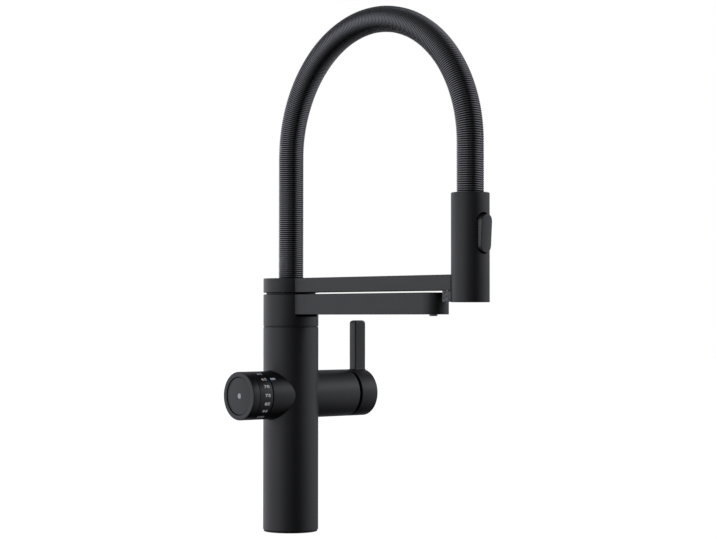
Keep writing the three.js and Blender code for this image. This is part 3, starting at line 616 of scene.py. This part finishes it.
def figure(name, text, theta_deg, mat, width=7.3, height=2.9, x_mid=-44.4, r=SIDE_R + 0.03):
    """A printed figure on the number ring, wrapped to its curve."""
    cu = bpy.data.curves.new(name + "_text", "FONT")
    cu.body = text
    cu.size = 1.0
    cu.space_character = 1.12
    cu.offset = 0.045
    cu.resolution_u = 4
    tmp = bpy.data.objects.new(name + "_tmp", cu)
    bpy.context.scene.collection.objects.link(tmp)
    bpy.context.view_layer.update()
    me = bpy.data.meshes.new_from_object(tmp.evaluated_get(bpy.context.evaluated_depsgraph_get()))
    bpy.data.objects.remove(tmp)
    bm = bmesh.new()
    bm.from_mesh(me)
    bmesh.ops.remove_doubles(bm, verts=bm.verts, dist=1e-5)
    bmesh.ops.triangulate(bm, faces=bm.faces)
    bmesh.ops.subdivide_edges(bm, edges=bm.edges, cuts=2, use_grid_fill=True)
    xs, ys = [v.co.x for v in bm.verts], [v.co.y for v in bm.verts]
    x0, x1, y0, y1 = min(xs), max(xs), min(ys), max(ys)
    th = math.radians(theta_deg)
    for v in bm.verts:
        u = ((v.co.x - x0) / (x1 - x0) - 0.5) * width
        w = ((v.co.y - y0) / (y1 - y0) - 0.5) * height
        v.co = Vector(ring_point(x_mid + u, th + w / r, r))
    bm.to_mesh(me)
    bm.free()
    me.materials.clear()
    me.materials.append(mat)
    o = bpy.data.objects.new(name, me)
    bpy.context.scene.collection.objects.link(o)
    return place(o, "dial", None)


FIGURES = [("60", 65.0, 5.8), ("65", 44.0, 6.0), ("70", 23.6, 6.0), ("75", 2.2, 6.0), ("85", -18.0, 6.0), ("95", -38.2, 6.0), ("100", -59.5, 7.2)]
for text, theta, width in FIGURES:
    figure("figure_" + text, text, theta, warm_ink if theta == 44.0 else white_ink, width)


def patch(name, x0, x1, th_mid, height, mat, r=SIDE_R + 0.03, n=6):
    """A printed dash on the neck."""
    rows, verts = n + 1, []
    for k in range(rows):
        th = math.radians(th_mid) + (k / n - 0.5) * height / r
        for m in range(7):
            verts.append(ring_point(x0 + (x1 - x0) * m / 6, th, r))
    faces = [[k * 7 + m, k * 7 + m + 1, (k + 1) * 7 + m + 1, (k + 1) * 7 + m] for k in range(n) for m in range(6)]
    return place(obj_from(name, verts, faces, mat, 30.0, 1.0), "column", None)


patch("index_mark", -34.6, -31.2, 44.6, 2.0, white_ink)
patch("index_mark_pale", -37.0, -34.6, 44.6, 2.0, pale_blue_ink)
patch("index_mark_blue", -37.0, -34.9, 39.0, 1.5, blue_ink)

# ================================================================ lever
handle = turned("lever_look", rounded(
    [(0, 87.9), (SIDE_R, 87.9), (SIDE_R, 68.85), (16.0, 68.85), (16.0, 82.0), (8.0, 82.0), (8.0, 71.5), (4.9, 71.5), (4.9, 80.8), (0, 80.8)],
    [0, 0.9, 0.3, 0, 0, 0, 0, 0, 0, 0]), black, "X", 176, (0, 0, AXIS_Z), closed=False)
rings = []
X0, X1, HY, TOP = 75.1, 87.9, 4.25, 190.55


def blade_ring(z, inset_x, inset_y, flare=0.0, rc=0.9, n=6):
    x0, x1, hy = X0 + inset_x - flare, X1 - inset_x, HY - inset_y + flare
    out = []
    for cx, cy, a0 in ((x1 - rc, hy - rc, 0), (x0 + rc, hy - rc, 90), (x0 + rc, -hy + rc, 180), (x1 - rc, -hy + rc, 270)):
        for j in range(n + 1):
            a = math.radians(a0 + 90 * j / n)
            out.append((cx + rc * math.cos(a), cy + rc * math.sin(a), z))
    return out


rings.append(blade_ring(141.0, 0, 0, 1.1))
for j in range(7):
    a = math.pi / 2 * j / 6
    rings.append(blade_ring(145.6 - 1.1 * math.cos(a), 0, 0, 1.1 - 1.1 * math.sin(a)))
for j in range(13):
    drop = 3.2 * (1 - math.sin(math.pi / 2 * j / 12))
    rings.append(blade_ring(TOP - drop, 3.2 - math.sqrt(3.2 ** 2 - (3.2 - drop) ** 2),
                            1.9 - math.sqrt(max(1.9 ** 2 - max(1.9 - drop, 0) ** 2, 0))))
blade = layers("blade", rings, black)
combine(handle, [blade], "UNION")
combine(handle, [drill("Z", 2.2, AXIS_Z - 24.5, AXIS_Z - 4.5, (76, 0, 0), 24)], "DIFFERENCE")
place(handle, "lever", "black_paint", "lever_handle")

# ================================================================ trim rings, washers and the outlet
place(turned("dial_gap_look", [(16.9, -37.6), (19.2, -37.6), (19.2, -38.4), (16.9, -38.4)], trim_plastic, "X", 128, (0, 0, AXIS_Z)),
      "column", "rubber", "dial_gap_ring")
place(turned("lever_gap_look", [(16.6, 65.8), (18.8, 65.8), (18.8, 68.6), (16.6, 68.6)], trim_plastic, "X", 128, (0, 0, AXIS_Z)),
      "column", "rubber", "lever_gap_ring")
place(turned("seam_washer_look", rounded([(15.7, COLUMN_Z1 + 0.08), (24.6, COLUMN_Z1 + 0.08), (24.6, SPOUT_Z0 - 0.08), (15.7, SPOUT_Z0 - 0.08)],
      [0, 0.15, 0.15, 0]), trim_plastic, seg=160), "column", "black_plastic", "seam_washer")
place(turned("arm_washer_look", rounded([(15.7, SPOUT_Z1 + 0.08), (22.4, SPOUT_Z1 + 0.08), (22.4, ARM_Z0 - 0.08), (15.7, ARM_Z0 - 0.08)],
      [0, 0.3, 0.3, 0]), trim_plastic, seg=160), "column", "black_plastic", "arm_washer")
place(turned("outlet_nozzle_look", rounded(
    [(2.6, 194.3), (3.25, 194.3), (3.6, 195.9), (6.1, 195.9), (6.1, 203.0), (4.0, 203.0), (4.0, 197.6), (2.6, 197.6)],
    [0.15, 0.25, 0.2, 0.3, 0, 0, 0, 0.2]), outlet_grey, seg=64, centre=(0, -OUTLET_Y, 0)), "spout", "black_plastic", "outlet_nozzle")
place(turned("base_seal_look", rounded([(20.3, 0), (24.3, 0), (24.3, 1.42), (20.3, 1.42)], [0, 0.35, 0.1, 0]), rubber, seg=200), "column", "rubber", "base_seal")

# ================================================================ spray face and other seen CAD nodes
for n, mat in {
    "base_plate": brass, "cold_inlet_tube": steel, "hot_inlet_tube": steel, "boiling_inlet_tube": steel,
    "boiling_outlet_tube": steel, "mixed_water_tube": steel, "swivel_post": brass, "post_oring_lower": rubber,
    "post_oring_upper": rubber, "hot_valve_body": brass,
    "mixer_cartridge": grey_plastic, "cartridge_nut": brass,
    "spout_bush_lower": grey_plastic, "spout_bush_upper": grey_plastic, "spout_grub_screw": black_steel,
    "outlet_insert": grey_plastic, "arm_bush": grey_plastic, "arm_grub_screw": black_steel,
    "dock_screw_1": steel, "dock_screw_2": steel, "dock_magnet": steel, "hose_ferrule": trim_plastic,
    "hose_connector": brass, "spray_valve_body": hole_dark, "rocker_pin": steel, "spray_chamber": trim_plastic,
    "spray_keeper_plate": steel, "spray_nozzle_plate": rubber, "spray_aerator": grey_plastic, "diverter_spool": brass,
    "dial_spindle": brass, "cartridge_stem": brass, "lever_grub_screw": black_steel,
}.items():
    o = nodes[n]
    o.data.materials.clear()
    o.data.materials.append(mat)


def soft_shading():
    """Rounds the shading of turned CAD nodes without touching their meshes."""
    ng = bpy.data.node_groups.new("soft_shading", "GeometryNodeTree")
    ng.interface.new_socket("Geometry", in_out="INPUT", socket_type="NodeSocketGeometry")
    ng.interface.new_socket("Geometry", in_out="OUTPUT", socket_type="NodeSocketGeometry")
    gi, go = ng.nodes.new("NodeGroupInput"), ng.nodes.new("NodeGroupOutput")
    weld = ng.nodes.new("GeometryNodeMergeByDistance")
    weld.inputs["Distance"].default_value = 1e-6
    faces_on = ng.nodes.new("GeometryNodeSetShadeSmooth")
    faces_on.domain = "FACE"
    edges_off = ng.nodes.new("GeometryNodeSetShadeSmooth")
    edges_off.domain = "EDGE"
    edges_off.inputs["Shade Smooth"].default_value = False
    angle = ng.nodes.new("GeometryNodeInputMeshEdgeAngle")
    compare = ng.nodes.new("FunctionNodeCompare")
    compare.operation = "GREATER_THAN"
    compare.inputs[1].default_value = math.radians(32)
    ng.links.new(gi.outputs[0], weld.inputs["Geometry"])
    ng.links.new(weld.outputs["Geometry"], faces_on.inputs["Geometry"])
    ng.links.new(faces_on.outputs["Geometry"], edges_off.inputs["Geometry"])
    ng.links.new(angle.outputs["Unsigned Angle"], compare.inputs[0])
    ng.links.new(compare.outputs["Result"], edges_off.inputs["Selection"])
    ng.links.new(edges_off.outputs["Geometry"], go.inputs[0])
    return ng


soft = soft_shading()
for o in nodes.values():
    if not o.hide_render:
        o.modifiers.new("soft_shading", "NODES").node_group = soft


# ================================================================ floor, light, camera
floor = obj_from("floor", [(-6000, -6000, 0), (6000, -6000, 0), (6000, 6000, 0), (-6000, 6000, 0)], [[0, 1, 2, 3]], None)
fm, fnt, fb = material("pale_floor")
fb.inputs["Base Color"].default_value = (0.42, 0.42, 0.42, 1)
fb.inputs["Roughness"].default_value = 0.9
fb.inputs["Specular IOR Level"].default_value = 0.0
fb.inputs["Emission Color"].default_value = (1, 1, 1, 1)
fb.inputs["Emission Strength"].default_value = 0.90
floor.data.materials.append(fm)
floor.visible_diffuse = False
floor.visible_glossy = False

# each soft panel: its level against bearing, and against height, both in degrees
LEFT_BEARING = [(-180, 0.60), (-165, 0.77), (-135, 1.12), (-110, 1.37), (-85, 1.27), (-60, 1.19), (-38, 0.82), (-18, 0.24), (0, 0.19), (18, 0.02),
                (36, 0.0), (54, 0.04), (72, 0.13), (95, 0.37), (120, 0.52), (145, 0.28), (170, 0.43), (180, 0.52)]
LEFT_HEIGHT = [(-90, 0.0), (-65, 0.0), (-35, 0.22), (-14, 0.74), (4, 1.0), (22, 0.54), (42, 0.02), (90, 0.0)]
RIGHT_BEARING = [(-180, 0.0), (-85, 0.0), (-60, 0.30), (-38, 0.33), (-18, 0.28), (0, 0.28), (18, 0.11), (36, 0.06), (54, 0.77), (72, 1.32), (95, 1.42),
                 (120, 0.66), (145, 0.06), (180, 0.0)]
RIGHT_HEIGHT = [(-90, 0.0), (-65, 0.0), (-35, 0.14), (-14, 0.29), (4, 0.35), (13, 0.52), (22, 1.18), (30, 0.95), (42, 0.46), (60, 0.20), (75, 0.08), (90, 0.05)]
TOP_BEARING = [(-180, 1.0), (-130, 0.9), (-100, 0.3), (-60, 0.1), (60, 0.1), (120, 0.1), (150, 0.25), (180, 1.0)]
TOP_HEIGHT = [(-90, 0.0), (26, 0.0), (40, 0.36), (58, 0.42), (72, 0.25), (90, 0.16)]
LIGHT = 1.06
AZ = math.radians(-42.13623)
PITCH, ROLL = math.radians(1.44717), math.radians(0.03919)
fwd = Vector((-math.sin(AZ) * math.cos(PITCH), math.cos(AZ) * math.cos(PITCH), math.sin(PITCH)))
right = Vector((math.cos(AZ), math.sin(AZ), 0))
up = right.cross(fwd)
right2 = right * math.cos(ROLL) + up * math.sin(ROLL)
up2 = up * math.cos(ROLL) - right * math.sin(ROLL)
cam_data = bpy.data.cameras.new("camera")
cam_data.sensor_fit = "HORIZONTAL"
cam_data.sensor_width = 36.0
cam_data.lens = 1907.047 / 716 * 36.0
cam = bpy.data.objects.new("camera", cam_data)
bpy.context.scene.collection.objects.link(cam)
rot = Matrix((right2, up2, -fwd)).transposed().to_4x4()
cam.matrix_world = Matrix.Translation(Vector((-1.11862, -1.32728, 0.19253))) @ rot
cam_data.clip_start, cam_data.clip_end = 0.05, 50.0
bpy.context.scene.camera = cam

# studio: a white room seen by the camera; soft light from wide panels at the left and the right and from high up behind, dim in front and low down
world = bpy.data.worlds.new("studio")
bpy.context.scene.world = world
world.use_nodes = True
wt = world.node_tree
for n in list(wt.nodes):
    wt.nodes.remove(n)
out = wt.nodes.new("ShaderNodeOutputWorld")
bg_seen, bg_light = wt.nodes.new("ShaderNodeBackground"), wt.nodes.new("ShaderNodeBackground")
mixer = wt.nodes.new("ShaderNodeMixShader")
lp = wt.nodes.new("ShaderNodeLightPath")
wt.links.new(lp.outputs["Is Camera Ray"], mixer.inputs["Fac"])
wt.links.new(bg_light.outputs["Background"], mixer.inputs[1])
wt.links.new(bg_seen.outputs["Background"], mixer.inputs[2])
wt.links.new(mixer.outputs["Shader"], out.inputs["Surface"])
bg_seen.inputs["Color"].default_value = (1, 1, 1, 1)
bg_seen.inputs["Strength"].default_value = 1.0

tc = wt.nodes.new("ShaderNodeTexCoord")


def wmath(op, *values):
    n = wt.nodes.new("ShaderNodeMath")
    n.operation = op
    for i, v in enumerate(values):
        if hasattr(v, "default_value") or hasattr(v, "links"):
            wt.links.new(v, n.inputs[i])
        else:
            n.inputs[i].default_value = v
    return n.outputs["Value"]


def along(direction):
    n = wt.nodes.new("ShaderNodeVectorMath")
    n.operation = "DOT_PRODUCT"
    wt.links.new(tc.outputs["Generated"], n.inputs[0])
    n.inputs[1].default_value = direction
    return n.outputs["Value"]


def level(source, points):
    """A smooth curve of light level against source, from (value, level) points."""
    lo, hi = points[0][0], points[-1][0]
    n = wt.nodes.new("ShaderNodeFloatCurve")
    curve = n.mapping.curves[0]
    n.mapping.use_clip = False
    top = max(v for _, v in points)
    for k, (x, v) in enumerate(points):
        at, val = (x - lo) / (hi - lo), v / top
        if k < 2:
            curve.points[k].location = (at, val)
        else:
            curve.points.new(at, val)
    for q in curve.points:
        q.handle_type = "VECTOR"
    n.mapping.update()
    wt.links.new(wmath("DIVIDE", wmath("SUBTRACT", source, lo), hi - lo), n.inputs["Value"])
    return wmath("MULTIPLY", n.outputs["Value"], top)


# bearing of a direction, in degrees to the right of the camera as the object faces it, and its height in degrees
bearing = wmath("MULTIPLY", wmath("ARCTAN2", along((0.7415, -0.6709, 0)), along((-0.6709, -0.7415, 0))), 180 / math.pi)
height = wmath("MULTIPLY", wmath("ARCSINE", along((0, 0, 1))), 180 / math.pi)
left_panel = wmath("MULTIPLY", level(bearing, LEFT_BEARING), level(height, LEFT_HEIGHT))
right_panel = wmath("MULTIPLY", level(bearing, RIGHT_BEARING), level(height, RIGHT_HEIGHT))
top_panel = wmath("MULTIPLY", level(bearing, TOP_BEARING), level(height, TOP_HEIGHT))
wt.links.new(wmath("MULTIPLY", wmath("ADD", wmath("ADD", left_panel, right_panel), top_panel), LIGHT), bg_light.inputs["Strength"])
bg_light.inputs["Color"].default_value = (1.0, 1.012, 1.10, 1)

bpy.context.scene.view_settings.view_transform = "Standard"
bpy.context.scene.view_settings.look = "None"
